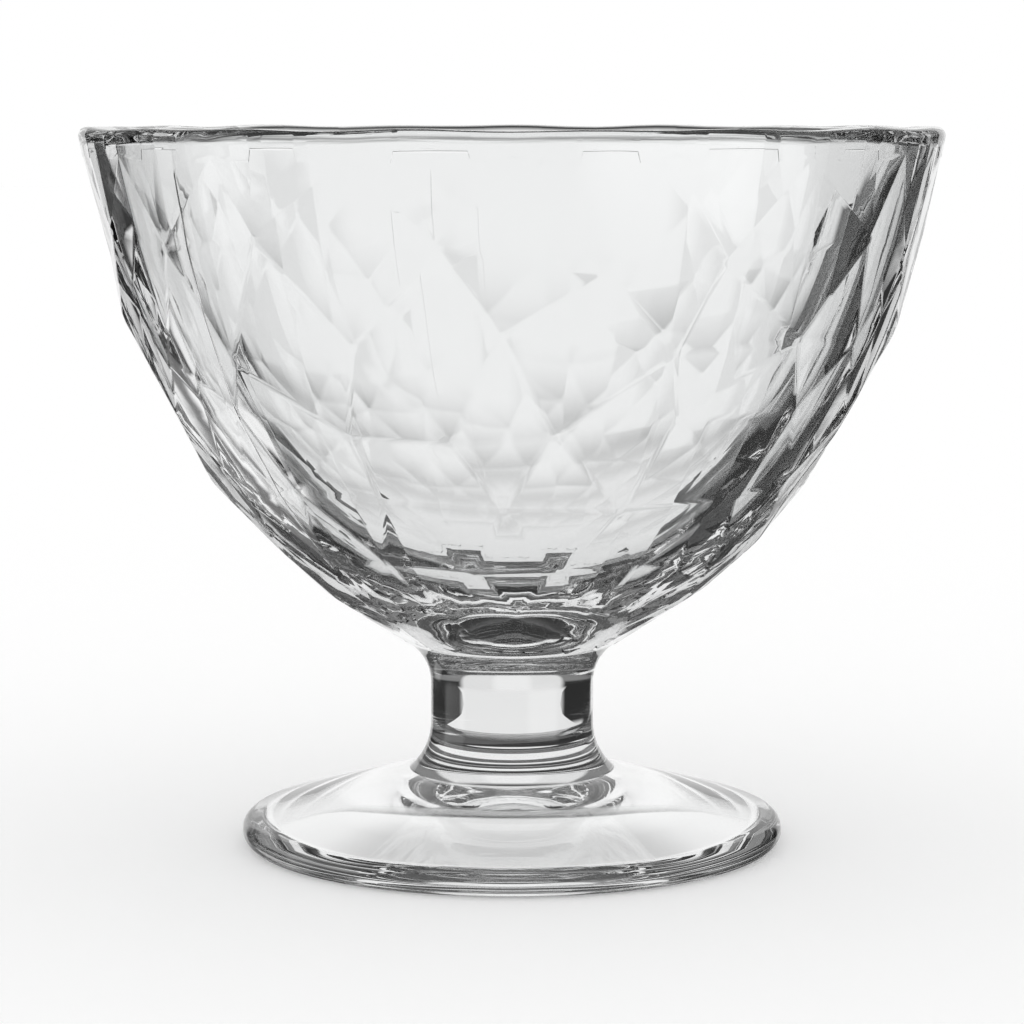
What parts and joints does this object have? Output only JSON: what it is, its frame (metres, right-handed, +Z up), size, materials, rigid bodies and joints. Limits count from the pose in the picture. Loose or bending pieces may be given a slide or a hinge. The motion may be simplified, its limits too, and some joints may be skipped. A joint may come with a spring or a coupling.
{
  "type": "footed dessert glass",
  "caption": "Clear pressed-glass dessert bowl with irregular facets outside and a smooth inside, on a short solid flared stem and a round rounded-edge foot.",
  "frame": {"origin": "on the glass's axis, on the surface that the foot stands on", "axes": "+Z up along the axis, from the foot to the rim; X and Y are free round the axis, and the picture looks along +Y"},
  "size_m": [0.119, 0.119, 0.1],
  "materials": {
    "bowl_glass": "clear soda-lime glass, pressed facets outside, fire-polished lip",
    "stem_glass": "clear soda-lime glass, solid, polished",
    "foot_glass": "clear soda-lime glass, pressed, polished edge"
  },
  "bodies": {
    "root": {"bowl": "bowl_glass", "stem": "stem_glass", "foot": "foot_glass"}
  },
  "joints": []
}
